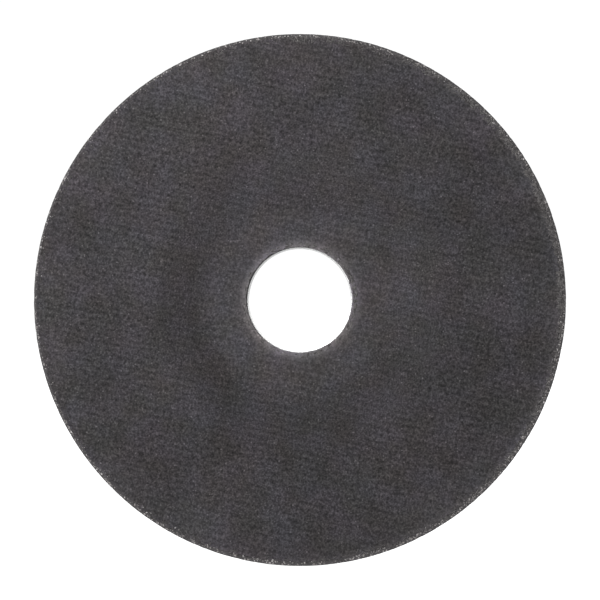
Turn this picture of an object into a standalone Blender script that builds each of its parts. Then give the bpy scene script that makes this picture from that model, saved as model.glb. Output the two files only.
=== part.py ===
# A resin-bonded grinding wheel with a depressed centre, standing upright as on its spindle.
#
# The spin axis is Y. The grinding face looks towards -Y and the machine side towards +Y.
# The origin lies on the axis, in the centre of the wheel's bounding box.
#
# Every layer of the wheel is the same dish: a flat hub set back from the grinding face, a
# slope, and the flat grinding zone. A layer is told apart by how far its two faces lie from
# the middle surface of the dish, measured square to it, so all the layers nest.

from math import cos, pi, radians, sin, tan

import bpy

MM = 0.001

# The wheel's standard sizes
WHEEL_RADIUS = 57.5 * MM
BORE_RADIUS = 11.15 * MM
BODY_THICKNESS = 6.0 * MM
HUB_DEPTH = 4.6 * MM

# The dish, at the middle of the body's thickness
HUB_FLAT_RADIUS = 20.6 * MM
SLOPE_ANGLE = radians(26)
BLEND_RADIUS = 9.0 * MM
BLEND_STEPS = 2
TURN_STEPS = 48

# What the layers are made of, from the grinding face to the machine side
GAP = 0.3 * MM
COVER_THICKNESS = 0.3 * MM
NET_THICKNESS = 0.4 * MM
LABEL_THICKNESS = 0.25 * MM

# How far each layer stops short of the wheel's edge
COVER_EDGE_INSET = 0.9 * MM
NET_EDGE_INSET = 0.3 * MM

# The hub
FRONT_HOLE_RADIUS = 11.4 * MM
RING_WALL = 0.55 * MM
RING_FLANGE_RADIUS = 15.0 * MM
RING_FLANGE_THICKNESS = 0.5 * MM
RING_LEAD_IN = 0.3 * MM
HUB_NET_RADIUS = 19.9 * MM
LABEL_RADIUS = 44.0 * MM

MERGE_DISTANCE = 0.01 * MM

# Linear colour, roughness and metallic value of each material
CHARCOAL_CLOTH = (0.062, 0.057, 0.061), 0.85, 0.0
BLACK_NET = (0.045, 0.044, 0.046), 0.7, 0.0
PALE_NET = (0.52, 0.45, 0.30), 0.55, 0.0
DARK_GRIT = (0.075, 0.068, 0.066), 0.8, 0.0
LABEL_PAPER = (0.55, 0.55, 0.54), 0.75, 0.0
ZINC_STEEL = (0.60, 0.60, 0.61), 0.35, 1.0


def clear_scene():
    for item in list(bpy.context.scene.objects):
        bpy.data.objects.remove(item, do_unlink=True)


def make_material(name, finish):
    colour, roughness, metallic = finish
    material = bpy.data.materials.new(name)
    material.use_nodes = True
    shader = material.node_tree.nodes["Principled BSDF"]
    shader.inputs["Base Color"].default_value = (*colour, 1.0)
    shader.inputs["Roughness"].default_value = roughness
    shader.inputs["Metallic"].default_value = metallic
    return material


def slope_end_radius():
    """Radius at which the slope has run out into the flat grinding zone."""
    risen_in_arcs = 2 * BLEND_RADIUS * (1 - cos(SLOPE_ANGLE))
    straight = (HUB_DEPTH - risen_in_arcs) / tan(SLOPE_ANGLE)
    return HUB_FLAT_RADIUS + 2 * BLEND_RADIUS * sin(SLOPE_ANGLE) + straight


def dish_stations(inner_radius, outer_radius):
    """Stations along the middle surface, hub to rim: radius, height and slope angle.

    Heights are measured from the middle of the flat grinding zone towards the machine side.
    """
    stations = [(inner_radius, HUB_DEPTH, 0.0)]
    angles = [SLOPE_ANGLE * i / BLEND_STEPS for i in range(BLEND_STEPS + 1)]
    for angle in angles:
        radius = HUB_FLAT_RADIUS + BLEND_RADIUS * sin(angle)
        stations.append((radius, HUB_DEPTH - BLEND_RADIUS * (1 - cos(angle)), angle))
    for angle in reversed(angles):
        radius = slope_end_radius() - BLEND_RADIUS * sin(angle)
        stations.append((radius, BLEND_RADIUS * (1 - cos(angle)), angle))
    stations.append((outer_radius, 0.0, 0.0))
    return stations


def offset_line(stations, offset):
    """The stations moved square to the surface, towards the machine side if positive."""
    return [(r + offset * sin(a), h + offset * cos(a)) for r, h, a in stations]


def turned_piece(name, outline, material, collection, parent):
    """Turns a closed outline of (radius, height) points about the wheel's axis.

    The outline runs outwards along the machine side, down the rim, back along the grinding
    side and up the bore, which turns into a closed body whose faces point outwards.
    """
    count = len(outline)
    mesh = bpy.data.meshes.new(name)
    vertices = [(radius, 0.0, height) for radius, height in outline]
    mesh.from_pydata(vertices, [(i, (i + 1) % count) for i in range(count)], [])
    mesh.materials.append(material)
    piece = bpy.data.objects.new(name, mesh)
    collection.objects.link(piece)
    piece.parent = parent
    turn = piece.modifiers.new("Turn", "SCREW")
    turn.axis = "Z"
    turn.angle = 2 * pi
    turn.steps = TURN_STEPS
    turn.render_steps = TURN_STEPS
    turn.use_merge_vertices = True
    turn.merge_threshold = MERGE_DISTANCE
    turn.use_smooth_shade = True
    return piece


def layer_outline(inner_radius, outer_radius, front, back):
    """Outline of one layer between two offsets from the dish's middle surface."""
    stations = dish_stations(inner_radius, outer_radius)
    return offset_line(stations, back) + offset_line(stations, front)[::-1]


def pocketed_outline(inner_radius, outer_radius, front, back, pocket_radius, pocket_floor):
    """A layer whose machine side is sunk to pocket_floor inside pocket_radius, at the hub."""
    stations = dish_stations(inner_radius, outer_radius)
    pocket = [
        (inner_radius, HUB_DEPTH + pocket_floor),
        (pocket_radius, HUB_DEPTH + pocket_floor),
        (pocket_radius, HUB_DEPTH + back),
    ]
    back_line = offset_line(stations[1:], back)
    return pocket + back_line + offset_line(stations, front)[::-1]


def ring_outline(collar_start, flange_front, flange_back):
    """The steel ring: a collar in the bore with a flange on the machine side."""
    collar_radius = BORE_RADIUS + RING_WALL
    return [
        (BORE_RADIUS, HUB_DEPTH + flange_back - RING_LEAD_IN),
        (BORE_RADIUS + RING_LEAD_IN, HUB_DEPTH + flange_back),
        (RING_FLANGE_RADIUS, HUB_DEPTH + flange_back),
        (RING_FLANGE_RADIUS, HUB_DEPTH + flange_front),
        (collar_radius, HUB_DEPTH + flange_front),
        (collar_radius, HUB_DEPTH + collar_start),
        (BORE_RADIUS, HUB_DEPTH + collar_start),
    ]


def build_wheel():
    clear_scene()
    collection = bpy.data.collections.new("grinding_wheel")
    bpy.context.scene.collection.children.link(collection)

    # Offsets of the faces, from the grinding face at -BODY_THICKNESS / 2 to the other side
    half = BODY_THICKNESS / 2
    cover_back = -half + COVER_THICKNESS
    front_net_front = cover_back + GAP
    front_net_back = front_net_front + NET_THICKNESS
    front_grit_front = front_net_back + GAP
    back_net_front = half - NET_THICKNESS
    back_grit_back = back_net_front - GAP
    grit_thickness = (back_grit_back - front_grit_front - NET_THICKNESS - 2 * GAP) / 2
    front_grit_back = front_grit_front + grit_thickness
    middle_net_front = front_grit_back + GAP
    middle_net_back = middle_net_front + NET_THICKNESS
    back_grit_front = middle_net_back + GAP
    hub_net_front = back_grit_back - NET_THICKNESS
    flange_front = half + GAP
    flange_back = flange_front + RING_FLANGE_THICKNESS

    # The axle stands for the spin axis: its Z is the row's +Y, and the wheel is centred on it
    axle = bpy.data.objects.new("spin_axis", None)
    collection.objects.link(axle)
    axle.rotation_euler = (-pi / 2, 0.0, 0.0)
    middle_of_box = (HUB_DEPTH + flange_back - half) / 2
    axle.location = (0.0, -middle_of_box, 0.0)

    collar_hole = BORE_RADIUS + RING_WALL + GAP
    net_radius = WHEEL_RADIUS - NET_EDGE_INSET
    outlines = {
        "front_cover_cloth": (
            layer_outline(FRONT_HOLE_RADIUS, WHEEL_RADIUS - COVER_EDGE_INSET, -half, cover_back),
            CHARCOAL_CLOTH,
        ),
        "front_glass_net": (
            layer_outline(FRONT_HOLE_RADIUS, net_radius, front_net_front, front_net_back),
            BLACK_NET,
        ),
        "front_abrasive_layer": (
            layer_outline(FRONT_HOLE_RADIUS, WHEEL_RADIUS, front_grit_front, front_grit_back),
            DARK_GRIT,
        ),
        "middle_glass_net": (
            layer_outline(collar_hole, net_radius, middle_net_front, middle_net_back),
            PALE_NET,
        ),
        "back_abrasive_layer": (
            pocketed_outline(
                collar_hole,
                WHEEL_RADIUS,
                back_grit_front,
                back_grit_back,
                HUB_NET_RADIUS + GAP,
                hub_net_front - GAP,
            ),
            DARK_GRIT,
        ),
        "hub_reinforcing_net": (
            [
                (collar_hole, HUB_DEPTH + back_grit_back),
                (HUB_NET_RADIUS, HUB_DEPTH + back_grit_back),
                (HUB_NET_RADIUS, HUB_DEPTH + hub_net_front),
                (collar_hole, HUB_DEPTH + hub_net_front),
            ],
            PALE_NET,
        ),
        "back_glass_net": (
            layer_outline(collar_hole, net_radius, back_net_front, half),
            BLACK_NET,
        ),
        "back_label": (
            layer_outline(
                RING_FLANGE_RADIUS + GAP, LABEL_RADIUS, flange_front, flange_front + LABEL_THICKNESS
            ),
            LABEL_PAPER,
        ),
        "steel_bore_ring": (
            ring_outline(middle_net_front, flange_front, flange_back),
            ZINC_STEEL,
        ),
    }
    for name, (outline, finish) in outlines.items():
        turned_piece(name, outline, make_material(name, finish), collection, axle)


build_wheel()
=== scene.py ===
import math

import bpy
import numpy as np
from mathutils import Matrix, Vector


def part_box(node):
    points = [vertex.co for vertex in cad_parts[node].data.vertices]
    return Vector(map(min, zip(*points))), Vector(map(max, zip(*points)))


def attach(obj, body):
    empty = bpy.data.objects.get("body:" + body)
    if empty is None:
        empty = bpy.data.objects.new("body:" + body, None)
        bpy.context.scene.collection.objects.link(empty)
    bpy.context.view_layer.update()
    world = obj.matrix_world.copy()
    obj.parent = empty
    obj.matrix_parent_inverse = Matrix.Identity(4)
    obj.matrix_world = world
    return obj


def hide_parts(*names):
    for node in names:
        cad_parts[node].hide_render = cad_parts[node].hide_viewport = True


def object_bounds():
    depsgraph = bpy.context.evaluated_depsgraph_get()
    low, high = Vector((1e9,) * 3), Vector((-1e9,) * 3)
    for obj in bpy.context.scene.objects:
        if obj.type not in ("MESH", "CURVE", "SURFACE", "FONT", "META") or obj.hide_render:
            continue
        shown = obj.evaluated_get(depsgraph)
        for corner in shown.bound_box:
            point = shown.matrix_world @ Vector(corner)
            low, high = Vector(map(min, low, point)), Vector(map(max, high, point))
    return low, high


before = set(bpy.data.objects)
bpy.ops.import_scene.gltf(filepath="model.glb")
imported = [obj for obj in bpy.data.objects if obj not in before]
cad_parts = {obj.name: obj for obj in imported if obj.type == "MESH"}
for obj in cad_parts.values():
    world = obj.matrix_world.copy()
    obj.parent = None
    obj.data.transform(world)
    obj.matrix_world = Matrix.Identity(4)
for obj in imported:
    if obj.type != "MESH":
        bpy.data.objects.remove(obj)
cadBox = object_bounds()
mm = 0.001
mergeDistance = 0.004 * mm
print("frame loaded:", len(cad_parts), "nodes")

# the dish that every layer follows
dish = {
    "hubFlatRadius": 20.6 * mm,
    "slopeAngle": math.radians(26),
    "blendRadius": 9.0 * mm,
    "hubDepth": 4.6 * mm,
    "bodyThickness": 6.0 * mm,
    "arcSteps": 6,
}
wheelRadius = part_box("front_abrasive_layer")[1].x
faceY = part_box("front_cover_cloth")[0].y
middleY = faceY + dish["bodyThickness"] / 2


def dishStations(offset):
    # radius and y along a surface that lies square to the dish's middle surface by offset
    angle, blend, deep = dish["slopeAngle"], dish["blendRadius"], dish["hubDepth"]
    straight = (deep - 2 * blend * (1 - math.cos(angle))) / math.tan(angle)
    slopeEnd = dish["hubFlatRadius"] + 2 * blend * math.sin(angle) + straight
    turn = np.linspace(0, angle, dish["arcSteps"] + 1)
    inner = np.c_[dish["hubFlatRadius"] + blend * np.sin(turn), deep - blend * (1 - np.cos(turn)), turn]
    outer = np.c_[slopeEnd - blend * np.sin(turn), blend * (1 - np.cos(turn)), turn][::-1]
    line = np.vstack([[0, deep, 0], inner, outer, [2 * wheelRadius, 0, 0]])
    return line[:, 0] + offset * np.sin(line[:, 2]), middleY + line[:, 1] + offset * np.cos(line[:, 2])


def dishY(radius, offset):
    radii, ys = dishStations(0)
    slope = np.interp(radius, radii, np.gradient(ys, radii))
    return np.interp(radius, radii, ys) + offset * np.sqrt(1 + slope ** 2)


def dishPath(inner, outer, offset):
    # the dish from one radius to another, as a list of (radius, y)
    radii, ys = dishStations(offset)
    between = [(r, y) for r, y in zip(radii, ys) if inner < r < outer]
    ends = [(r, float(np.interp(r, radii, ys))) for r in (inner, outer)]
    return ends[:1] + between + ends[1:]


# modelling helpers

def chooseOnly(piece):
    bpy.ops.object.select_all(action="DESELECT")
    bpy.context.view_layer.objects.active = piece
    piece.select_set(True)


def editMode(piece, selectMode="VERT"):
    chooseOnly(piece)
    bpy.ops.object.mode_set(mode="EDIT")
    bpy.ops.mesh.select_mode(type=selectMode)
    bpy.ops.mesh.select_all(action="SELECT")


def objectMode():
    bpy.ops.object.mode_set(mode="OBJECT")


def getPoints(piece):
    flat = np.empty(len(piece.data.vertices) * 3)
    piece.data.vertices.foreach_get("co", flat)
    return flat.reshape(-1, 3)


def setPoints(piece, places):
    piece.data.vertices.foreach_set("co", places.ravel())
    piece.data.update()


def radiusOf(places):
    return np.hypot(places[:, 0], places[:, 2])


def deleteFaces(piece, chosen):
    editMode(piece, "FACE")
    bpy.ops.mesh.select_all(action="DESELECT")
    objectMode()
    piece.data.polygons.foreach_set("select", chosen)
    bpy.ops.object.mode_set(mode="EDIT")
    bpy.ops.mesh.delete(type="FACE")
    objectMode()


def faceCentres(piece):
    flat = np.empty(len(piece.data.polygons) * 3)
    piece.data.polygons.foreach_get("center", flat)
    return flat.reshape(-1, 3)


def cleanShell(piece, smoothAngle=50):
    # closes seams, turns the faces outwards and smooths all but the sharp edges
    editMode(piece)
    bpy.ops.mesh.remove_doubles(threshold=mergeDistance)
    bpy.ops.mesh.normals_make_consistent(inside=False)
    objectMode()
    bpy.ops.object.shade_smooth_by_angle(angle=math.radians(smoothAngle))


def applyModifiers(piece):
    chooseOnly(piece)
    for modifier in list(piece.modifiers):
        bpy.ops.object.modifier_apply(modifier=modifier.name)


def roughen(piece, size, strength, weights=None):
    # pushes the surface in and out by a cloudy noise; weights limits it to a part of the piece
    noise = bpy.data.textures.new(piece.name + "Clouds", "CLOUDS")
    noise.noise_scale = size
    noise.noise_depth = 2
    push = piece.modifiers.new("roughen", "DISPLACE")
    push.texture = noise
    push.texture_coords = "LOCAL"
    push.strength = strength
    if weights is not None:
        group = piece.vertex_groups.new(name="rough")
        for index in np.nonzero(weights > 0)[0]:
            group.add([int(index)], float(weights[index]), "REPLACE")
        push.vertex_group = group.name
    applyModifiers(piece)
    piece.vertex_groups.clear()


def turnedPiece(name, outline, steps):
    # draws a closed half section point by point, then turns it about the wheel's axis
    bpy.ops.object.select_all(action="DESELECT")
    bpy.ops.mesh.primitive_plane_add(size=mm, location=(*outline[0], 0))
    piece = bpy.context.object
    piece.name = piece.data.name = name
    bpy.ops.object.mode_set(mode="EDIT")
    bpy.ops.mesh.select_all(action="SELECT")
    bpy.ops.mesh.merge(type="CENTER")
    for (r0, y0), (r1, y1) in zip(outline, outline[1:] + outline[:1]):
        bpy.ops.mesh.extrude_region_move(TRANSFORM_OT_translate={"value": (r1 - r0, y1 - y0, 0)})
    objectMode()
    bpy.ops.object.transform_apply(location=True, rotation=True, scale=True)
    turn = piece.modifiers.new("turn", "SCREW")
    turn.axis = "Y"
    turn.steps = turn.render_steps = steps
    turn.use_merge_vertices = True
    turn.merge_threshold = mergeDistance
    applyModifiers(piece)
    cleanShell(piece)
    return piece


def roundedCorner(centre, radius, start, end, steps):
    # points on an arc, for an outline; the angles are in degrees
    turns = np.radians(np.linspace(start, end, steps))
    return [(centre[0] + radius * math.cos(t), centre[1] + radius * math.sin(t)) for t in turns]


def ragged(angles, waves, seed):
    # an uneven edge around the wheel, -1 to 1, with this many waves round it
    values = np.random.default_rng(seed).uniform(-1, 1, waves)
    places = np.mod(angles / (2 * math.pi), 1) * waves
    low = np.floor(places).astype(int)
    part = places - low
    part = part * part * (3 - 2 * part)
    return values[low % waves] * (1 - part) + values[(low + 1) % waves] * part


def wovenHeight(x, z, weave):
    # plain weave: 0 in the gaps, 1 on top of the threads
    c, s = math.cos(weave["turn"]), math.sin(weave["turn"])
    u = (x * c + z * s) / weave["pitchAcross"]
    v = (z * c - x * s) / weave["pitchAlong"]
    across = np.abs(np.cos(math.pi * u)) * (1 + np.cos(math.pi * (v + np.round(u)))) / 2
    along = np.abs(np.cos(math.pi * v)) * (1 - np.cos(math.pi * (u + np.round(v)))) / 2
    return np.maximum(across, along * weave.get("alongShare", 1))


def copyShape(name, corners, faces, attribute, values):
    # a mesh of many copies of one modelled shape; corners has a row of points per copy
    count, points = corners.shape[:2]
    allFaces = faces[None] + (np.arange(count) * points)[:, None, None]
    mesh = bpy.data.meshes.new(name)
    mesh.from_pydata(corners.reshape(-1, 3).tolist(), [], allFaces.reshape(-1, faces.shape[1]).tolist())
    made = mesh.attributes.new(attribute, "FLOAT", "POINT")
    made.data.foreach_set("value", np.repeat(values, points))
    return mesh


def finishPiece(piece, slot, material, *nodes):
    piece.data.materials.clear()
    piece.data.materials.append(material)
    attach(piece, "root")
    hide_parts(*nodes)
    piece.data.calc_loop_triangles()
    print(piece.name, len(piece.data.loop_triangles), "triangles")


# material helpers

def addNode(tree, kind, sockets=None, **settings):
    # one shader node; sockets gives its inputs a value or another node's output
    made = tree.nodes.new("ShaderNode" + kind)
    for name, value in settings.items():
        setattr(made, name, value)
    for name, value in (sockets or {}).items():
        if isinstance(value, bpy.types.NodeSocket):
            tree.links.new(value, made.inputs[name])
        else:
            made.inputs[name].default_value = value
    return made


def maths(tree, operation, *values):
    return addNode(tree, "Math", dict(enumerate(values)), operation=operation).outputs[0]


def fitRange(tree, value, low, high, newLow=0.0, newHigh=1.0, smooth=False):
    sockets = {"Value": value, "From Min": low, "From Max": high, "To Min": newLow, "To Max": newHigh}
    kind = "SMOOTHSTEP" if smooth else "LINEAR"
    return addNode(tree, "MapRange", sockets, interpolation_type=kind).outputs[0]


def mixColours(tree, factor, first, second):
    # the colour sockets of a Mix node are its inputs 6 and 7 and its output 2
    return addNode(tree, "Mix", {0: factor, 6: first, 7: second}, data_type="RGBA").outputs[2]


def sumLayers(tree, base, layers):
    # base plus every layer times its amount; layers swing about a half, so the mean stays at base
    total = base - sum(amount for value, amount in layers) / 2
    for value, amount in layers:
        total = maths(tree, "MULTIPLY_ADD", value, amount, total)
    return total


def newGroup(name, inputs, outputs):
    tree = bpy.data.node_groups.new(name, "ShaderNodeTree")
    for label, kind in inputs:
        tree.interface.new_socket(label, in_out="INPUT", socket_type="NodeSocket" + kind)
    for label in outputs:
        tree.interface.new_socket(label, in_out="OUTPUT", socket_type="NodeSocketFloat")
    return tree, tree.nodes.new("NodeGroupInput").outputs, tree.nodes.new("NodeGroupOutput").inputs


def useGroup(tree, group, sockets):
    return addNode(tree, "Group", sockets, node_tree=group).outputs


def makeWeaveGroup():
    # threads of a plain weave seen along the spin axis
    tree, given, result = newGroup(
        "wovenThreads",
        [("Vector", "Vector"), ("Pitch Across", "Float"), ("Pitch Along", "Float"), ("Turn", "Float")],
        ["Height"],
    )
    turned = addNode(tree, "VectorRotate", {"Vector": given["Vector"], "Angle": given["Turn"]},
                     rotation_type="Y_AXIS")
    split = addNode(tree, "SeparateXYZ", {0: turned.outputs[0]})
    u = maths(tree, "DIVIDE", split.outputs["X"], given["Pitch Across"])
    v = maths(tree, "DIVIDE", split.outputs["Z"], given["Pitch Along"])
    threads = []
    for side, other, sign in ((u, v, 0.5), (v, u, -0.5)):
        crown = maths(tree, "ABSOLUTE", maths(tree, "COSINE", maths(tree, "MULTIPLY", side, math.pi)))
        step = maths(tree, "ADD", other, maths(tree, "ROUND", side))
        wave = maths(tree, "COSINE", maths(tree, "MULTIPLY", step, math.pi))
        threads.append(maths(tree, "MULTIPLY", crown, maths(tree, "MULTIPLY_ADD", wave, sign, 0.5)))
    tree.links.new(maths(tree, "MAXIMUM", *threads), result["Height"])
    return tree


def makeGrainGroup():
    # two sizes of uneven tone, each swinging about a half
    tree, given, result = newGroup(
        "grainTones", [("Vector", "Vector"), ("Size", "Float")], ["Fine", "Medium"]
    )
    for name, share in (("Fine", 1.0), ("Medium", 0.5)):
        scale = maths(tree, "DIVIDE", share, given["Size"])
        noise = addNode(tree, "TexNoise", {
            "Vector": given["Vector"], "Scale": scale, "Detail": 1.5, "Roughness": 0.65,
        })
        tree.links.new(noise.outputs["Fac"], result[name])
    return tree


def makeZoneGroup():
    # 0 inside one radius to 1 outside another, round the spin axis
    tree, given, result = newGroup(
        "radialZone", [("Vector", "Vector"), ("Inner", "Float"), ("Outer", "Float")], ["Mask"]
    )
    flat = addNode(tree, "VectorMath", {0: given["Vector"], 1: (1, 0, 1)}, operation="MULTIPLY")
    radius = addNode(tree, "VectorMath", {0: flat.outputs[0]}, operation="LENGTH").outputs["Value"]
    mask = fitRange(tree, radius, given["Inner"], given["Outer"], smooth=True)
    tree.links.new(mask, result["Mask"])
    return tree


def makeSpeckGroup():
    # scattered specks: Size apart, and only the Share with the highest random value show
    tree, given, result = newGroup(
        "specks", [("Vector", "Vector"), ("Size", "Float"), ("Share", "Float")], ["Mask", "Tone"]
    )
    scale = maths(tree, "DIVIDE", 1.0, given["Size"])
    cells = addNode(tree, "TexVoronoi", {"Vector": given["Vector"], "Scale": scale})
    tone = addNode(tree, "SeparateColor", {0: cells.outputs["Color"]}).outputs[0]
    chosen = maths(tree, "GREATER_THAN", tone, maths(tree, "SUBTRACT", 1.0, given["Share"]))
    near = fitRange(tree, cells.outputs["Distance"], 0.42, 0.15)
    tree.links.new(maths(tree, "MULTIPLY", chosen, near), result["Mask"])
    tree.links.new(tone, result["Tone"])
    return tree


weaveGroup = makeWeaveGroup()
grainGroup = makeGrainGroup()
zoneGroup = makeZoneGroup()
speckGroup = makeSpeckGroup()


def newMaterial(name, roughness, specular, metallic=0.0):
    material = bpy.data.materials.new(name)
    material.use_nodes = True
    tree = material.node_tree
    shader = tree.nodes["Principled BSDF"]
    shader.inputs["Roughness"].default_value = roughness
    shader.inputs["Specular IOR Level"].default_value = specular
    shader.inputs["Metallic"].default_value = metallic
    return material, tree, shader, addNode(tree, "TexCoord").outputs["Object"]


def zone(tree, place, inner, outer):
    return useGroup(tree, zoneGroup, {"Vector": place, "Inner": inner, "Outer": outer})["Mask"]


def within(tree, place, inner, outer):
    # 1 inside one radius to 0 outside another
    return maths(tree, "SUBTRACT", 1.0, zone(tree, place, inner, outer))


def grainTones(tree, place, size):
    return useGroup(tree, grainGroup, {"Vector": place, "Size": size})


def specksOf(tree, place, size, share):
    return useGroup(tree, speckGroup, {"Vector": place, "Size": size, "Share": share})


def wovenTone(tree, place, weave):
    return useGroup(tree, weaveGroup, {
        "Vector": place, "Pitch Across": weave["pitchAcross"], "Pitch Along": weave["pitchAlong"],
        "Turn": weave["turn"],
    })["Height"]


def paint(tree, shader, tint, tone):
    scaled = addNode(tree, "VectorMath", {0: tint, "Scale": tone}, operation="SCALE")
    tree.links.new(scaled.outputs[0], shader.inputs["Base Color"])


def bump(tree, shader, height, distance):
    made = addNode(tree, "Bump", {"Height": height, "Distance": distance})
    tree.links.new(made.outputs[0], shader.inputs["Normal"])


# the cover cloth on the grinding face

frontNet = {
    "pitchAcross": 2.66 * mm, "pitchAlong": 2.5 * mm, "turn": math.radians(-61.9), "alongShare": 0.4,
}
deepNet = {
    "pitchAcross": 1.95 * mm, "pitchAlong": 1.9 * mm, "turn": math.radians(-54.2), "alongShare": 0.3,
}
cloth = {
    "radius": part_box("front_cover_cloth")[1].x,
    "holeRadius": 11.49 * mm,
    "frontOffset": -3.0 * mm,
    "backOffset": -2.72 * mm,
    "pitchAcross": 1.336 * mm,
    "pitchAlong": 1.464 * mm,
    "turn": math.radians(-11.9),
    "cellsPerThread": 4,
    "threadRelief": 0.085 * mm,
    "netRelief": 0.11 * mm,
    "deepRelief": 0.06 * mm,
    "cloudRelief": 0.055 * mm,
    "cloudSize": 0.9 * mm,
    "margin": 1.5 * mm,
    "offCentre": (-0.34 * mm, 0, 0.12 * mm),
    "holeOffCentre": (-0.20 * mm, 0, 0.06 * mm),
    "cutRim": {"raggedness": 0.16 * mm, "waves": 430, "seed": 3},
    "cutHole": {"raggedness": 0.18 * mm, "waves": 140, "seed": 4},
    "fineShare": 0.6,
    "lipHeight": 0.24 * mm,
    "lipWidth": 0.7 * mm,
    "roughness": 0.85,
    "specular": 0.12,
    "grainSize": 0.38 * mm,
    "blotchSize": 7.0 * mm,
    "castSize": 5.1 * mm,
    "speckSize": 0.5 * mm,
    "speckShare": 0.05,
    "tuftSize": 0.6 * mm,
    "tuftShare": 0.4,
    "contrast": 2.6,
    "rowWander": 2.4,
    "reds": (0.0375, 0.0402),
    "green": 0.0360,
    "blues": (0.0364, 0.0404),
    "tones": {
        "grain": 1.22, "coarseGrain": 0.09, "rows": 0.11, "threads": 0.06, "net": 0.04,
        "blotches": 0.07, "clouds": 0.27,
    },
    "bumps": {"grain": 0.8, "coarseGrain": 0.15, "rows": 0.6, "threads": 0.5},
    "bumpHeight": 0.10 * mm,
    # paler places: distances out from the hole, in full and gone, and how much paler
    "hub": (6.8 * mm, 9.6 * mm, 0.18),
    # slope: the hub and the dish's slope painted paler, painted light that lifts the shade falling in
    # the dish
    "slope": (16.51 * mm, 21.51 * mm, 0.08),
    "collar": (0.6 * mm, 4.1 * mm, 0.35),
    "lip": (-0.4 * mm, 2.0 * mm, 2.25),
    # and distances in from the wheel's edge, gone and in full, and how much paler
    "outer": (9.5 * mm, 1.5 * mm, 0.15),
    "rim": (2.0 * mm, 0.2 * mm, 0.50),
    "rimShift": 2.5,
    "speckBrightness": 1.8,
    "lipTufts": 3.6,
    "rimTufts": 1.9,
}


def clothY(radius):
    # the cloth's face without its threads: the dish, with a lip standing up round the hole
    lip = cloth["lipHeight"] * np.exp((cloth["holeRadius"] - radius) / cloth["lipWidth"])
    return dishY(radius, cloth["frontOffset"]) - lip


def makeCloth():
    bpy.ops.object.select_all(action="DESELECT")
    size = 2 * (cloth["radius"] + cloth["margin"])
    bpy.ops.mesh.primitive_grid_add(
        x_subdivisions=round(size * cloth["cellsPerThread"] / cloth["pitchAcross"]),
        y_subdivisions=round(size * cloth["cellsPerThread"] / cloth["pitchAlong"]),
        size=size, rotation=(math.pi / 2, -cloth["turn"], 0),
    )
    piece = bpy.context.object
    piece.name = piece.data.name = "front_cover_cloth_weave"
    bpy.ops.object.transform_apply(location=True, rotation=True, scale=True)
    # cut out the disc and its hole, then pull the cut edges onto ragged circles
    centre, holeCentre = np.array(cloth["offCentre"]), np.array(cloth["holeOffCentre"])
    middles = faceCentres(piece)
    outwards = radiusOf(middles - centre)
    inwards = radiusOf(middles - holeCentre)
    deleteFaces(piece, (outwards > cloth["radius"]) | (inwards < cloth["holeRadius"]))
    editMode(piece, "EDGE")
    bpy.ops.mesh.select_all(action="DESELECT")
    bpy.ops.mesh.select_non_manifold()
    objectMode()
    edge = np.empty(len(piece.data.vertices), bool)
    piece.data.vertices.foreach_get("select", edge)
    places = getPoints(piece)
    radius = radiusOf(places)
    isRim = radius > 2 * cloth["holeRadius"]
    fineShare = cloth["fineShare"]
    for near, middle, target, cut in (
        (isRim, centre, cloth["radius"], cloth["cutRim"]),
        (~isRim, holeCentre, cloth["holeRadius"], cloth["cutHole"]),
    ):
        rows = edge & near
        spokes = places[rows] - middle
        turns = np.arctan2(spokes[:, 2], spokes[:, 0])
        uneven = fineShare * ragged(turns, cut["waves"], cut["seed"])
        uneven += (1 - fineShare) * ragged(turns, cut["waves"] // 7, cut["seed"] + 10)
        length = radiusOf(spokes)
        places[rows] = middle + spokes * ((target + cut["raggedness"] * uneven) / length)[:, None]
    # drape it on the dish, with its threads, the net below and a lip round the hole showing
    x, z = places[:, 0], places[:, 2]
    radius = np.hypot(x, z)
    layers = (("threadRelief", cloth), ("netRelief", frontNet), ("deepRelief", deepNet))
    relief = sum(cloth[name] * wovenHeight(x, z, weave) for name, weave in layers)
    sunk = sum(cloth[name] for name, weave in layers) + cloth["cloudRelief"] / 2
    places[:, 1] = clothY(radius) + sunk - relief
    setPoints(piece, places)
    roughen(piece, cloth["cloudSize"], cloth["cloudRelief"])
    # close the back: extrude both edges back, bridge them and lay the bridge on the dish
    editMode(piece, "EDGE")
    bpy.ops.mesh.select_all(action="DESELECT")
    bpy.ops.mesh.select_non_manifold()
    bpy.ops.mesh.extrude_edges_move(TRANSFORM_OT_translate={"value": (0, 0.1 * mm, 0)})
    objectMode()
    before = len(piece.data.vertices)
    bpy.ops.object.mode_set(mode="EDIT")
    bends = dishStations(cloth["backOffset"])[0][1:-1:2]
    bpy.ops.mesh.bridge_edge_loops(number_cuts=len(bends))
    objectMode()
    places = getPoints(piece)
    chosen = np.empty(len(places), bool)
    piece.data.vertices.foreach_get("select", chosen)
    chosen[before:] = True
    radius = radiusOf(places)
    even = np.linspace(cloth["holeRadius"], cloth["radius"], len(bends) + 2)
    target = np.interp(radius, even, [even[0], *bends, even[-1]])
    places[before:] *= (target / radius)[before:, None]
    radius = radiusOf(places)
    places[chosen, 1] = dishY(radius, cloth["backOffset"])[chosen]
    setPoints(piece, places)
    cleanShell(piece, smoothAngle=70)
    return piece


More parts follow.
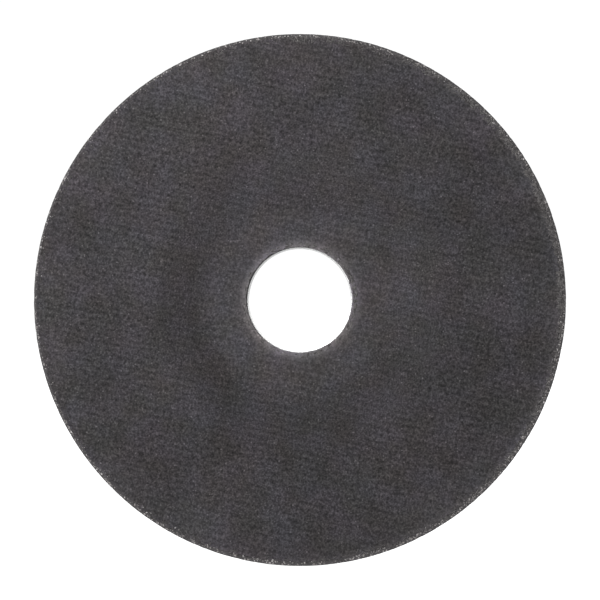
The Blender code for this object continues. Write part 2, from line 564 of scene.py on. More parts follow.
def makeClothMaterial():
    material, tree, shader, place = newMaterial("charcoalCloth", cloth["roughness"], cloth["specular"])
    grain = grainTones(tree, place, cloth["grainSize"])
    blotches = grainTones(tree, place, cloth["blotchSize"])
    casts = grainTones(tree, place, cloth["castSize"])
    specks = specksOf(tree, place, cloth["speckSize"], cloth["speckShare"])["Mask"]
    tufts = specksOf(tree, place, cloth["tuftSize"], cloth["tuftShare"])["Mask"]
    # the weft shows as rows that wander a little; the wave texture repeats every pi / 10
    turned = addNode(tree, "VectorRotate", {"Vector": place, "Angle": cloth["turn"]},
                     rotation_type="Y_AXIS")
    drawnOut = addNode(tree, "Mapping", {"Vector": turned.outputs[0], "Scale": (0.4, 1, 1)})
    rows = addNode(tree, "TexWave", {
        "Vector": drawnOut.outputs[0], "Scale": math.pi / 10 / cloth["pitchAlong"],
        "Distortion": cloth["rowWander"], "Detail": 1.0, "Detail Scale": 1.0,
    }, bands_direction="Z").outputs["Fac"]
    shown = {
        "grain": grain["Fine"], "coarseGrain": grain["Medium"], "rows": rows,
        "threads": wovenTone(tree, place, cloth), "net": wovenTone(tree, place, frontNet),
        "blotches": blotches["Fine"], "clouds": blotches["Medium"],
    }
    tone = sumLayers(tree, 1.0, [(shown[name], amount) for name, amount in cloth["tones"].items()])
    tone = maths(tree, "POWER", maths(tree, "MAXIMUM", tone, 0.02), cloth["contrast"])
    # where the cloth is paler: the hub, the lip of the hole, and the rim, trimmed off centre; the slope
    # mask is painted light, a paler hub and slope that lift the shade falling in the dish
    hole = cloth["holeRadius"]
    masks = {}
    for name in ("hub", "slope", "collar", "lip"):
        full, gone, amount = cloth[name]
        masks[name] = within(tree, place, hole + full, hole + gone)
        tone = maths(tree, "MULTIPLY_ADD", masks[name], amount, tone)
    shift = tuple(cloth["rimShift"] * c for c in cloth["offCentre"])
    trimmed = addNode(tree, "VectorMath", {0: place, 1: shift}, operation="SUBTRACT").outputs[0]
    for name, at in (("outer", place), ("rim", trimmed)):
        gone, full, amount = cloth[name]
        masks[name] = zone(tree, at, wheelRadius - gone, wheelRadius - full)
        tone = maths(tree, "MULTIPLY_ADD", masks[name], amount, tone)
    for mask, amount in (
        (specks, cloth["speckBrightness"]),
        (maths(tree, "MULTIPLY", tufts, masks["lip"]), cloth["lipTufts"]),
        (maths(tree, "MULTIPLY", tufts, masks["rim"]), cloth["rimTufts"]),
    ):
        tone = maths(tree, "MULTIPLY_ADD", mask, amount, tone)
    # slow changes of red and blue, over the range that the noise usually has
    tint = addNode(tree, "CombineColor", {
        "Red": fitRange(tree, casts["Medium"], 0.35, 0.65, *cloth["reds"]),
        "Green": cloth["green"],
        "Blue": fitRange(tree, blotches["Fine"], 0.35, 0.65, *cloth["blues"]),
    }).outputs[0]
    paint(tree, shader, tint, tone)
    height = sumLayers(tree, 0.5, [(shown[name], amount) for name, amount in cloth["bumps"].items()])
    bump(tree, shader, height, cloth["bumpHeight"])
    return material


finishPiece(makeCloth(), "charcoal_cloth", makeClothMaterial(), "front_cover_cloth")
print("cloth done")

# frayed ends of the cloth's threads, lying along its cut edges

fray = {
    "rim": {
        "count": 1700, "band": (wheelRadius - 1.7 * mm, wheelRadius - 0.2 * mm),
        "lengths": (0.5 * mm, 1.3 * mm), "turnSpread": 0.35,
    },
    "bore": {
        "count": 380, "band": (cloth["holeRadius"] + 0.15 * mm, cloth["holeRadius"] + 1.0 * mm),
        "lengths": (0.3 * mm, 0.8 * mm), "turnSpread": 0.3,
    },
    "widths": (0.11 * mm, 0.28 * mm),
    "sunk": 0.16 * mm,
    "overhang": 0.30 * mm,
    "nearest": cloth["holeRadius"] + 0.05 * mm,
    "furthest": wheelRadius - 0.08 * mm,
    "unevenness": 0.75,
    # the side of the rim where the threads get a painted highlight, and the share of it left on the far
    # side
    "paintedHighlightTowards": math.radians(20),
    "leastPaintedLight": 0.15,
    "tufts": 110,
    "tuftWidth": 0.016,
    "shareInTufts": 0.6,
    "seed": 11,
    "darkThread": (0.050, 0.047, 0.048, 1),
    "paleThread": (0.165, 0.157, 0.155, 1),
}


def makeFray():
    # models one short rod, then lays copies of it on the cloth along the directions of its threads
    bpy.ops.object.select_all(action="DESELECT")
    bpy.ops.mesh.primitive_cylinder_add(vertices=4, radius=0.5, depth=1, rotation=(0, math.pi / 2, 0))
    piece = bpy.context.object
    piece.name = "front_cover_cloth_frayed_ends"
    bpy.ops.object.transform_apply(location=True, rotation=True, scale=True)
    rod = getPoints(piece)
    faces = np.array([list(p.vertices) for p in piece.data.polygons])
    draw = np.random.default_rng(fray["seed"])
    rim, bore = fray["rim"], fray["bore"]
    total = rim["count"] + bore["count"]
    atRim = np.arange(total) < rim["count"]
    middle, length = [
        np.where(atRim, draw.uniform(*rim[what], total), draw.uniform(*bore[what], total))
        for what in ("band", "lengths")
    ]
    width = draw.uniform(*fray["widths"], total)
    around = draw.uniform(0, 2 * math.pi, total)
    tufts = draw.uniform(0, 2 * math.pi, fray["tufts"])
    tufted = draw.choice(tufts, total) + draw.normal(0, fray["tuftWidth"], total)
    around = np.where(draw.uniform(0, 1, total) < fray["shareInTufts"], tufted, around)
    # more threads crowd towards the side where the highlight is painted
    around -= fray["unevenness"] * np.sin(around - fray["paintedHighlightTowards"])
    # at the rim along the warp or the weft, at the bore round the hole
    yaw = draw.choice([cloth["turn"], cloth["turn"] + math.pi / 2], total)
    yaw += draw.normal(0, rim["turnSpread"], total)
    yaw = np.where(atRim, yaw, around + math.pi / 2 + draw.normal(0, bore["turnSpread"], total))
    along = rod[None, :, 0] * length[:, None]
    aside = rod[None, :, 2] * width[:, None]
    c, s = np.cos(yaw)[:, None], np.sin(yaw)[:, None]
    x = (middle * np.cos(around))[:, None] + along * c - aside * s
    z = (middle * np.sin(around))[:, None] + along * s + aside * c
    radius = np.hypot(x, z)
    kept = np.clip(radius, fray["nearest"], fray["furthest"])
    x, z = x * kept / radius, z * kept / radius
    past = np.clip((kept - cloth["radius"]) / (fray["furthest"] - cloth["radius"]), 0, 1)
    y = clothY(kept) + fray["sunk"] + fray["overhang"] * past + rod[None, :, 1] * width[:, None]
    corners = np.stack([x, y, z], axis=2)
    # the rim threads are painted paler towards one side, a painted highlight where the rim looks lit
    wearAndPaintedLight = (1 + np.cos(around - fray["paintedHighlightTowards"])) / 2
    wearAndPaintedLight = np.where(atRim, fray["leastPaintedLight"] + (1 - fray["leastPaintedLight"]) * wearAndPaintedLight, 1)
    piece.data = copyShape(piece.name, corners, faces, "strandToneAndHighlight", wearAndPaintedLight * draw.uniform(0, 1, total))
    cleanShell(piece, smoothAngle=30)
    return piece


def makeFrayMaterial():
    material, tree, shader, place = newMaterial("frayedThreads", roughness=0.8, specular=0.15)
    # the attribute holds each thread's own tone times the painted highlight on one side of the rim
    tone = addNode(tree, "Attribute", attribute_name="strandToneAndHighlight").outputs["Fac"]
    grain = grainTones(tree, place, 0.3 * mm)
    tint = mixColours(tree, tone, fray["darkThread"], fray["paleThread"])
    paint(tree, shader, tint, sumLayers(tree, 1.0, [(grain["Fine"], 1.0)]))
    return material


finishPiece(makeFray(), "charcoal_cloth", makeFrayMaterial(), "front_cover_cloth")
print("frayed ends done")

# the two abrasive layers

grit = {
    "frontFace": -2.70 * mm,
    "seam": 0.30 * mm,
    "seamHalfGap": 0.02 * mm,
    "backFace": 2.68 * mm,
    "pocketRadius": 20.2 * mm,
    "pocketFloor": 1.95 * mm,
    "frontBore": 11.55 * mm,
    "backBore": 12.0 * mm,
    "rimRadius": wheelRadius - 0.03 * mm,
    "shoulder": 0.4 * mm,
    "backFlatFrom": 42 * mm,
    "flatStep": 0.6 * mm,
    "wallStep": 0.4 * mm,
    "steps": 720,
    "cloudSize": 0.9 * mm,
    "cloudDepth": 0.22 * mm,
    "roughRim": 1.9 * mm,
    "roughBore": 12.6 * mm,
    "shareOfRoughBore": 0.5,
    "roughBackFrom": 30 * mm,
    "shareOfRoughBack": 0.9,
    "grainSizes": (0.24 * mm, 0.50 * mm),
    "grainShape": (0.75, 1.15),
    "grainInset": (0.05, 0.3),
    "wallMargin": 0.06,
    "bandInset": 0.25 * mm,
    # how many grains stand in the wall and in the face beside it, and how wide a band of face
    "frontGrains": {"counts": (2800, 2400), "band": 1.2 * mm, "seed": 21},
    "backGrains": {"counts": (2400, 800), "band": 0.6 * mm, "seed": 22},
    "darkestInWall": 0.15,
    "darkestInBand": 0.4,
    "toneSize": 0.35 * mm,
    "stoneSize": 0.6 * mm,
    "stoneShare": 0.45,
    "colours": (
        (0, (0.034, 0.032, 0.033)), (0.3, (0.05, 0.047, 0.048)), (0.6, (0.10, 0.094, 0.094)),
        (0.82, (0.15, 0.139, 0.135)), (1, (0.26, 0.25, 0.25)),
    ),
    # the front of the rim's edge and shoulder painted paler, painted light that lifts their shade
    "paintedEdgeLightDepths": (1.4 * mm, 0.8 * mm),
    "paintedEdgeLightBand": (2.0 * mm, 0.8 * mm),
    "paintedEdgeLightBrightness": 0.9,
}


def spacedRun(start, end, step):
    # points on a straight line about step apart, without the last
    count = max(1, round(math.dist(start, end) / step))
    return [tuple(a + (b - a) * i / count for a, b in zip(start, end)) for i in range(count)]


def gritWeights(piece, backIsBare):
    # how far the surface may move at each point: the rim, the bore and a bare back are rough
    places = getPoints(piece)
    radius = radiusOf(places)
    rim = np.clip((radius - wheelRadius + grit["roughRim"]) / mm, 0, 1)
    bore = np.clip((grit["roughBore"] - radius) / mm, 0, 1) * grit["shareOfRoughBore"]
    behind = (places[:, 1] > dishY(radius, 2.0 * mm)) & (radius > grit["roughBackFrom"])
    return np.maximum(np.maximum(rim, bore), behind * backIsBare * grit["shareOfRoughBack"])


def makeGrains(name, places, sizes, tones, seed):
    # models one angular grain, then copies it to every place, each with its own size, turn and tone
    bpy.ops.mesh.primitive_ico_sphere_add(subdivisions=1, radius=0.5)
    piece = bpy.context.object
    draw = np.random.default_rng(seed)
    shape = getPoints(piece)
    shape *= draw.uniform(*grit["grainShape"], (len(shape), 1))
    faces = np.array([list(p.vertices) for p in piece.data.polygons])
    q = draw.normal(size=(len(places), 4))
    w, x, y, z = (q / np.linalg.norm(q, axis=1)[:, None]).T
    turns = np.array([
        [1 - 2 * (y * y + z * z), 2 * (x * y - w * z), 2 * (x * z + w * y)],
        [2 * (x * y + w * z), 1 - 2 * (x * x + z * z), 2 * (y * z - w * x)],
        [2 * (x * z - w * y), 2 * (y * z + w * x), 1 - 2 * (x * x + y * y)],
    ]).transpose(2, 0, 1)
    corners = places[:, None] + sizes[:, None, None] * np.einsum("nij,kj->nki", turns, shape)
    piece.data = copyShape(name, corners, faces, "grainTone", tones)
    return piece


def joinGrains(body, grains):
    body.data.attributes.new("grainTone", "FLOAT", "POINT")
    chooseOnly(body)
    grains.select_set(True)
    bpy.ops.object.join()


def rimGrains(name, wallEnd, face, facing):
    # grains in the wall of the rim, and in the band of bare grit round the face beside it
    spec = grit[name]
    draw = np.random.default_rng(spec["seed"])
    onWall = np.arange(sum(spec["counts"])) < spec["counts"][0]
    sizes = draw.uniform(*grit["grainSizes"], len(onWall))
    share = draw.uniform(0, 1, len(onWall))
    inset = draw.uniform(*grit["grainInset"], len(onWall)) * sizes
    radius = grit["rimRadius"] - np.where(onWall, inset, grit["bandInset"] + share * spec["band"])
    alongWall = grit["wallMargin"] + (1 - grit["wallMargin"]) * share
    y = np.where(onWall, face + (wallEnd - face) * alongWall, face - facing * inset)
    turn = draw.uniform(0, 2 * math.pi, len(onWall))
    places = np.c_[radius * np.cos(turn), y, radius * np.sin(turn)]
    darkest = np.where(onWall, grit["darkestInWall"], grit["darkestInBand"])
    tones = draw.uniform(darkest, 1, len(onWall))
    return makeGrains(name, places, sizes, tones, spec["seed"])


def pressFlat(piece):
    # the mould leaves nothing standing out past the wheel's own outline
    places = getPoints(piece)
    radius = radiusOf(places)
    shrink = np.minimum(1, grit["rimRadius"] / np.maximum(radius, mm))
    places[:, 0] *= shrink
    places[:, 2] *= shrink
    setPoints(piece, places)


def makeFrontGrit():
    rim, bore = grit["rimRadius"], grit["frontBore"]
    shoulder, seam = grit["shoulder"], grit["seam"] - grit["seamHalfGap"]
    face = middleY + grit["frontFace"]
    outline = dishPath(bore, rim - shoulder - 0.8 * mm, grit["frontFace"])
    outline += roundedCorner((rim - shoulder, face + shoulder), shoulder, -90, 0, 7)
    wallStart = (rim, face + shoulder + 0.3 * mm)
    outline += spacedRun(wallStart, (rim, middleY + seam), grit["wallStep"])
    back = dishPath(bore, rim - 0.1 * mm, seam)[::-1]
    outline += back + spacedRun(back[-1], outline[0], grit["wallStep"])[1:]
    piece = turnedPiece("front_abrasive_grit", outline, grit["steps"])
    roughen(piece, grit["cloudSize"], grit["cloudDepth"], gritWeights(piece, 0))
    joinGrains(piece, rimGrains("frontGrains", middleY + seam, face, -1))
    pressFlat(piece)
    return piece


def makeBackGrit():
    rim, bore = grit["rimRadius"], grit["backBore"]
    shoulder, seam = grit["shoulder"], grit["seam"] + grit["seamHalfGap"]
    face = middleY + grit["backFace"]
    hub = middleY + dish["hubDepth"]
    pocket = [(bore, hub + grit["pocketFloor"]), (grit["pocketRadius"], hub + grit["pocketFloor"])]
    flatFrom, step = grit["backFlatFrom"], grit["flatStep"]
    backLine = dishPath(grit["pocketRadius"] + 0.1 * mm, flatFrom, grit["backFace"])
    flat = spacedRun((flatFrom + step, face), (rim - shoulder, face), step)
    corner = roundedCorner((rim - shoulder, face - shoulder), shoulder, 90, 0, 5)
    wall = spacedRun((rim, face - shoulder - 0.3 * mm), (rim, middleY + seam), grit["wallStep"])
    outline = pocket + backLine + flat + corner + wall + dishPath(bore, rim - 0.1 * mm, seam)[::-1]
    piece = turnedPiece("back_abrasive_grit", outline, grit["steps"])
    roughen(piece, grit["cloudSize"], grit["cloudDepth"], gritWeights(piece, 1))
    joinGrains(piece, rimGrains("backGrains", middleY + seam, face, 1))
    pressFlat(piece)
    return piece


def makeGritMaterial():
    material, tree, shader, place = newMaterial("bondedGrit", roughness=0.7, specular=0.25)
    tone = addNode(tree, "Attribute", attribute_name="grainTone").outputs["Fac"]
    grain = grainTones(tree, place, grit["toneSize"])
    stones = specksOf(tree, place, grit["stoneSize"], grit["stoneShare"])
    isGrain = maths(tree, "GREATER_THAN", tone, 0.05)
    stoneTone = maths(tree, "MULTIPLY", stones["Mask"], stones["Tone"])
    ramp = addNode(tree, "ValToRGB", {0: maths(tree, "MAXIMUM", tone, stoneTone)})
    steps = ramp.color_ramp.elements
    steps[0].color = (*grit["colours"][0][1], 1)
    steps[1].color = (*grit["colours"][-1][1], 1)
    for at, colour in grit["colours"][1:-1]:
        steps.new(at).color = (*colour, 1)
    brightness = sumLayers(tree, 1.0, [(grain["Fine"], 0.6), (grain["Medium"], 0.5)])
    # the edge beside the cover cloth is painted paler at its front and shoulder, painted light that
    # lifts the shade on the rounded rim
    depth = addNode(tree, "SeparateXYZ", {0: place}).outputs["Y"]
    front = fitRange(tree, depth, *(faceY + d for d in grit["paintedEdgeLightDepths"]))
    edge = zone(tree, place, *(wheelRadius - d for d in grit["paintedEdgeLightBand"]))
    paintedEdgeLight = maths(tree, "MULTIPLY", front, edge)
    brightness = maths(tree, "MULTIPLY_ADD", paintedEdgeLight, grit["paintedEdgeLightBrightness"], brightness)
    paint(tree, shader, ramp.outputs["Color"], brightness)
    rough = fitRange(tree, isGrain, 0, 1, 0.8, 0.38)
    tree.links.new(rough, shader.inputs["Roughness"])
    height = sumLayers(tree, 0.5, [(grain["Fine"], 0.8), (stones["Mask"], 0.6), (grain["Medium"], 0.6)])
    bump(tree, shader, height, 0.12 * mm)
    return material


gritMaterial = makeGritMaterial()
finishPiece(makeFrontGrit(), "bonded_grit", gritMaterial, "front_abrasive_layer")
finishPiece(makeBackGrit(), "bonded_grit", gritMaterial, "back_abrasive_layer")
print("abrasive layers done")

# the woven glass nets

backNet = {
    "outerRadius": wheelRadius - 0.25 * mm,
    "holeRadius": 12.0 * mm,
    "offset": 2.8 * mm,
    "pitchAcross": 2.66 * mm,
    "pitchAlong": 2.5 * mm,
    "turn": math.radians(18),
    "acrossYarns": {"width": 0.62 * mm, "thickness": 0.20 * mm, "pairGap": 0.72 * mm, "sides": 4},
    "alongYarns": {"width": 1.05 * mm, "thickness": 0.20 * mm, "pairGap": 0, "sides": 6},
    "wave": 0.10 * mm,
    "rows": 150,
    "smallestCut": 0.2 * mm,
}
frontNet.update({
    "outerRadius": wheelRadius - 0.2 * mm, "holeRadius": 11.6 * mm, "offset": -2.2 * mm, "rows": 110,
    "acrossYarns": {"width": 1.2 * mm, "thickness": 0.2 * mm, "pairGap": 0, "sides": 4},
    "alongYarns": {"width": 1.1 * mm, "thickness": 0.2 * mm, "pairGap": 0, "sides": 4},
    "wave": 0.10 * mm, "smallestCut": 0.2 * mm,
})
middleNet = dict(frontNet, holeRadius=12.0 * mm, offset=0.3 * mm, turn=math.radians(-54),
                 pitchAcross=3.0 * mm, pitchAlong=3.0 * mm)
hubNet = dict(frontNet, outerRadius=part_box("hub_reinforcing_net")[1].x, holeRadius=12.0 * mm,
              offset=2.1 * mm, turn=math.radians(45), rows=60)


def makeYarns(net, runsAlong):
    # one direction of the net: a grid whose columns are rolled into yarns and laid on the dish
    spec = net["alongYarns"] if runsAlong else net["acrossYarns"]
    pitch, stride = net["pitchAcross"], net["pitchAlong"]
    if runsAlong:
        pitch, stride = stride, pitch
    count = int(net["outerRadius"] / pitch - 0.3)
    shifts = (-spec["pairGap"] / 2, spec["pairGap"] / 2) if spec["pairGap"] else (0,)
    lines = [(i, i * pitch + shift) for i in range(-count, count + 1) for shift in shifts]
    sides, rows = spec["sides"], net["rows"]
    columns = len(lines) * (sides + 1)
    bpy.ops.mesh.primitive_grid_add(x_subdivisions=columns - 1, y_subdivisions=rows - 1, size=2)
    piece = bpy.context.object
    middles = faceCentres(piece)
    column = np.floor((middles[:, 0] + 1) / 2 * (columns - 1)).astype(int)
    row = np.floor((middles[:, 1] + 1) / 2 * (rows - 1)).astype(int)
    numbers, offsets = np.array(lines).T
    crossesHole = np.abs(offsets) - spec["width"] / 2 < net["holeRadius"]
    atHole = crossesHole[column // (sides + 1)] & (row == (rows - 1) // 2)
    deleteFaces(piece, (column % (sides + 1) == sides) | atHole)
    places = getPoints(piece)
    column = np.round((places[:, 0] + 1) / 2 * (columns - 1)).astype(int)
    row = np.round((places[:, 1] + 1) / 2 * (rows - 1)).astype(int)
    yarn = column // (sides + 1)
    section = 2 * math.pi * (column % (sides + 1)) / sides
    side = offsets[yarn] + spec["width"] / 2 * np.cos(section)
    end = np.sqrt(net["outerRadius"] ** 2 - side ** 2)
    hole = np.sqrt(np.maximum(net["holeRadius"] ** 2 - side ** 2, net["smallestCut"] ** 2))
    half = rows // 2
    second = row >= half
    share = np.where(second, row - half, half - 1 - row) / (half - 1)
    plain = 2 * row / (rows - 1) - 1
    halves = np.where(second, 1, -1) * (hole + (end - hole) * share)
    run = np.where(crossesHole[yarn], halves, end * plain)
    wave = net["wave"] * np.cos(math.pi * (run / stride + numbers[yarn])) * (-1 if runsAlong else 1)
    u, v = (run, side) if runsAlong else (side, run)
    c, s = math.cos(net["turn"]), math.sin(net["turn"])
    x, z = u * c - v * s, u * s + v * c
    lift = wave + spec["thickness"] / 2 * np.sin(section)
    setPoints(piece, np.c_[x, dishY(np.hypot(x, z), net["offset"] + lift), z])
    editMode(piece)
    bpy.ops.mesh.remove_doubles(threshold=mergeDistance / 2)
    bpy.ops.mesh.fill_holes(sides=sides)
    objectMode()
    return piece


def makeNet(name, net):
    across = makeYarns(net, False)
    piece = makeYarns(net, True)
    across.select_set(True)
    piece.select_set(True)
    bpy.ops.object.join()
    piece.name = piece.data.name = name
    cleanShell(piece, smoothAngle=80)
    return piece


def makeNetMaterial(name, pale, dark, showing):
    # pale yarns under a dark coat; showing is how much of the pale is seen
    material, tree, shader, place = newMaterial(name, roughness=0.6, specular=0.35)
    uv = addNode(tree, "TexCoord").outputs["UV"]
    along = addNode(tree, "Mapping", {"Vector": uv, "Scale": (500, 40, 1)})
    strands = addNode(tree, "TexNoise", {"Vector": along.outputs[0], "Scale": 1.0, "Detail": 1.0})
    strands = strands.outputs["Fac"]
    grain = grainTones(tree, place, 0.5 * mm)
    coat = grainTones(tree, place, 3.0 * mm)["Fine"]
    shown = sumLayers(tree, showing, [(strands, 1.2), (coat, 1.4), (grain["Medium"], 0.6)])
    tint = mixColours(tree, maths(tree, "MINIMUM", maths(tree, "MAXIMUM", shown, 0.0), 1.0), dark, pale)
    paint(tree, shader, tint, sumLayers(tree, 1.0, [(grain["Fine"], 0.5), (strands, 0.4)]))
    bump(tree, shader, sumLayers(tree, 0.5, [(strands, 1.0), (grain["Fine"], 0.6)]), 0.05 * mm)
    return material


resinCoated = makeNetMaterial("resinCoatedNet", (0.10, 0.088, 0.07, 1), (0.035, 0.034, 0.036, 1), 0.3)
bareGlass = makeNetMaterial("bareGlassNet", (0.60, 0.54, 0.38, 1), (0.30, 0.24, 0.14, 1), 0.7)
for name, net, slot, material, node in (
    ("front_glass_net_yarns", frontNet, "resin_coated_net", resinCoated, "front_glass_net"),
    ("middle_glass_net_yarns", middleNet, "bare_glass_net", bareGlass, "middle_glass_net"),
    ("hub_reinforcing_net_yarns", hubNet, "bare_glass_net", bareGlass, "hub_reinforcing_net"),
    ("back_glass_net_yarns", backNet, "resin_coated_net", resinCoated, "back_glass_net"),
):
    finishPiece(makeNet(name, net), slot, material, node)
print("nets done")

# the paper label on the machine side

label = {
    "innerRadius": 13.2 * mm,
    "outerRadius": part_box("back_label")[1].x,
    "faceOffset": 3.22 * mm,
    "undersideOffset": 3.06 * mm,
    "rowSpacing": 0.62 * mm,
    "edgeRounding": 0.05 * mm,
    "printSoftness": 0.05 * mm,
    "steps": 440,
    "netShows": 0.05 * mm,
    "paperColour": (0.56, 0.55, 0.52, 1),
    "bandColour": (0.020, 0.075, 0.085, 1),
    "outerBand": (38.2 * mm, 42.6 * mm),
    "innerBand": (16.2 * mm, 19.0 * mm),
    "fineLine": (36.6 * mm, 37.1 * mm),
    "wear": 0.35,
    "dirtyEdge": 0.8 * mm,
    "edgeDirt": -0.3,
}


def makeLabel():
    inner, outer = label["innerRadius"], label["outerRadius"]
    rows = int((outer - inner) / label["rowSpacing"])
    faceEnd = outer - label["edgeRounding"]
    radii = np.linspace(inner, faceEnd, rows)
    top = [(float(r), float(dishY(r, label["faceOffset"]))) for r in radii]
    edge = [(outer, float(dishY(outer, (label["faceOffset"] + label["undersideOffset"]) / 2)))]
    outline = top + edge + dishPath(inner, faceEnd, label["undersideOffset"])[::-1]
    piece = turnedPiece("back_label_paper", outline, label["steps"])
    places = getPoints(piece)
    radius = radiusOf(places)
    isTop = places[:, 1] > dishY(radius, label["faceOffset"] - 0.03 * mm)
    sink = label["netShows"] * (1 - wovenHeight(places[:, 0], places[:, 2], backNet))
    places[:, 1] -= np.where(isTop, sink, 0)
    setPoints(piece, places)
    return piece


def ringBand(tree, place, inner, outer, soft):
    # 1 between two radii, with soft edges
    rise = zone(tree, place, inner - soft, inner + soft)
    return maths(tree, "SUBTRACT", rise, zone(tree, place, outer - soft, outer + soft))


def makeLabelMaterial():
    material, tree, shader, place = newMaterial("labelPaper", roughness=0.6, specular=0.3)
    fibres = grainTones(tree, place, 0.25 * mm)
    stains = grainTones(tree, place, 6.0 * mm)
    soft = label["printSoftness"]
    printed = ringBand(tree, place, *label["outerBand"], soft)
    for name in ("innerBand", "fineLine"):
        printed = maths(tree, "MAXIMUM", printed, ringBand(tree, place, *label[name], soft))
    # the print is thinner where the net stands up under the paper
    raised = sumLayers(tree, 0.5, [(fibres["Fine"], 0.7), (wovenTone(tree, place, backNet), 0.2)])
    wearAndPaintedLight = maths(tree, "MULTIPLY", fitRange(tree, raised, 0.56, 0.76), label["wear"])
    printed = maths(tree, "MULTIPLY", printed, maths(tree, "SUBTRACT", 1.0, wearAndPaintedLight))
    colour = mixColours(tree, printed, label["paperColour"], label["bandColour"])
    edge = zone(tree, place, label["outerRadius"] - label["dirtyEdge"], label["outerRadius"])
    dirt = [(stains["Fine"], 0.12), (stains["Medium"], 0.12), (fibres["Fine"], 0.10)]
    tone = sumLayers(tree, 0.95, dirt)
    paint(tree, shader, colour, maths(tree, "MULTIPLY_ADD", edge, label["edgeDirt"], tone))
    tree.links.new(fitRange(tree, printed, 0, 1, 0.7, 0.42), shader.inputs["Roughness"])
    height = sumLayers(tree, 0.5, [(fibres["Fine"], 0.6), (fibres["Medium"], 0.5)])
    bump(tree, shader, height, 0.02 * mm)
    return material


finishPiece(makeLabel(), "label_paper", makeLabelMaterial(), "back_label")
print("label done")

# the steel ring in the bore

ring = {
    "boreRadius": 11.15 * mm,
    "wall": 0.55 * mm,
    "flangeRadius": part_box("steel_bore_ring")[1].x,
    "flangeBack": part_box("steel_bore_ring")[1].y,
    "collarFront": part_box("steel_bore_ring")[0].y,
    "flangeThickness": 0.5 * mm,
    "mouthRounding": 0.5 * mm,
    "edgeRounding": 0.25 * mm,
    "smallRounding": 0.08 * mm,
    # the groove's corners, as radii out from the bore, and its depth
    "groove": (1.6 * mm, 1.9 * mm, 2.4 * mm, 2.7 * mm),
    "grooveDepth": 0.06 * mm,
    "steps": 256,
    "coolPlating": (0.84, 0.85, 0.88, 1),
    "warmPlating": (0.90, 0.89, 0.86, 1),
}


def makeRing():
    bore, wall, edge = ring["boreRadius"], ring["wall"], ring["flangeRadius"]
    back, front = ring["flangeBack"], ring["collarFront"]
    under = back - ring["flangeThickness"]
    mouth, rolled, small = ring["mouthRounding"], ring["edgeRounding"], ring["smallRounding"]
    depths = (0, ring["grooveDepth"], ring["grooveDepth"], 0)
    outline = roundedCorner((bore + small, front + small), small, 270, 180, 4)
    outline += roundedCorner((bore + mouth, back - mouth), mouth, 180, 90, 7)
    outline += [(bore + out, back - depth) for out, depth in zip(ring["groove"], depths)]
    outline += roundedCorner((edge - rolled, back - rolled), rolled, 90, -90, 9)
    outline += roundedCorner((bore + wall + small, under - small), small, 90, 180, 4)
    outline += roundedCorner((bore + wall - small, front + small), small, 0, -90, 4)
    return turnedPiece("steel_bore_ring_turned", outline, ring["steps"])


def makeRingMaterial():
    material, tree, shader, place = newMaterial("zincPlatedSteel", 0.34, 0.5, metallic=1.0)
    fine = grainTones(tree, place, 0.3 * mm)["Fine"]
    broad = grainTones(tree, place, 2.5 * mm)
    scuffs = addNode(tree, "Mapping", {"Vector": place, "Scale": (9000, 9000, 900)})
    lines = addNode(tree, "TexNoise", {"Vector": scuffs.outputs[0], "Scale": 0.4, "Detail": 2.0})
    lines = lines.outputs["Fac"]
    plated = mixColours(tree, broad["Fine"], ring["coolPlating"], ring["warmPlating"])
    paint(tree, shader, plated, sumLayers(tree, 1.0, [(fine, 0.12), (lines, 0.12)]))
    rough = sumLayers(tree, 0.25, [(broad["Medium"], 0.16), (lines, 0.12)])
    tree.links.new(rough, shader.inputs["Roughness"])
    bump(tree, shader, sumLayers(tree, 0.5, [(fine, 0.5), (lines, 0.5)]), 0.008 * mm)
    return material


finishPiece(makeRing(), "zinc_plated_steel", makeRingMaterial(), "steel_bore_ring")
print("ring done")

# studio: pale floor, soft lights and the camera square to the grinding face

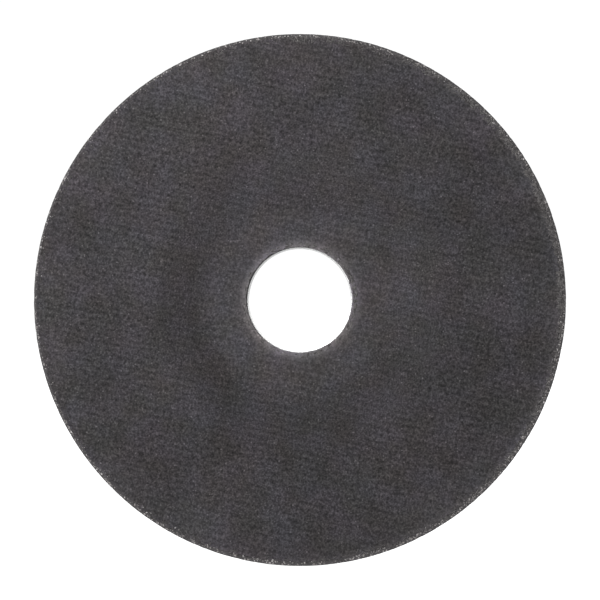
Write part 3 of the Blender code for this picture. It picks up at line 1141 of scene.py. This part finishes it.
studio = {
    "domeStrength": 0.48,
    "domeSeen": 1.05,
    "lights": {
        "key": {"power": 0.37, "size": 0.13, "place": (-0.0693, -0.191, 0.092)},
        "fill": {"power": 4.5, "size": 0.5, "place": (-0.304, -0.53, -0.792)},
    },
    "floorSize": 8,
    "floorGrey": 0.6,
    "floorGlow": 1.05,
    "floorSheen": 0.25,
    "lensLength": 200,
    "shareOfFrame": 0.8880,
}


def makeStudio():
    scene = bpy.context.scene
    bpy.ops.mesh.primitive_plane_add(size=studio["floorSize"], location=(0, 0, cadBox[0].z))
    floor = bpy.context.object
    floor.name = "floor"
    material, tree, shader = newMaterial("paleFloor", 0.9, 0.0)[:3]
    shader.inputs["Base Color"].default_value = (*[studio["floorGrey"]] * 3, 1)
    shader.inputs["Emission Color"].default_value = (1, 1, 1, 1)
    path = addNode(tree, "LightPath").outputs
    glow = maths(tree, "MULTIPLY", path["Is Camera Ray"], studio["floorGlow"])
    glow = maths(tree, "MULTIPLY_ADD", path["Is Glossy Ray"], studio["floorSheen"], glow)
    tree.links.new(glow, shader.inputs["Emission Strength"])
    floor.data.materials.append(material)
    floor.visible_shadow = False
    world = bpy.data.worlds.new("softDome")
    world.use_nodes = True
    scene.world = world
    tree = world.node_tree
    # the white surroundings show as white to the camera and in reflections
    path = addNode(tree, "LightPath").outputs
    seen = maths(tree, "MAXIMUM", path["Is Camera Ray"], path["Is Glossy Ray"])
    dome = studio["domeStrength"]
    strength = maths(tree, "MULTIPLY_ADD", seen, studio["domeSeen"] - dome, dome)
    background = tree.nodes["Background"]
    background.inputs["Color"].default_value = (1, 1, 1, 1)
    tree.links.new(strength, background.inputs["Strength"])
    for name, spec in studio["lights"].items():
        bpy.ops.object.light_add(type="AREA", location=spec["place"])
        light = bpy.context.object
        light.name = name
        light.data.energy = spec["power"]
        light.data.size = spec["size"]
        light.visible_camera = False
        light.rotation_euler = (-light.location).to_track_quat("-Z", "Y").to_euler()
    bpy.ops.object.camera_add(rotation=(math.pi / 2, 0, 0))
    camera = bpy.context.object
    camera.data.lens = studio["lensLength"]
    halfWidth = wheelRadius / studio["shareOfFrame"]
    distance = halfWidth * 2 * camera.data.lens / camera.data.sensor_width
    camera.location = (0, faceY - distance, 0)
    camera.data.clip_start = 0.01
    scene.camera = camera
    scene.view_settings.view_transform = "Standard"


makeStudio()
print("studio done")
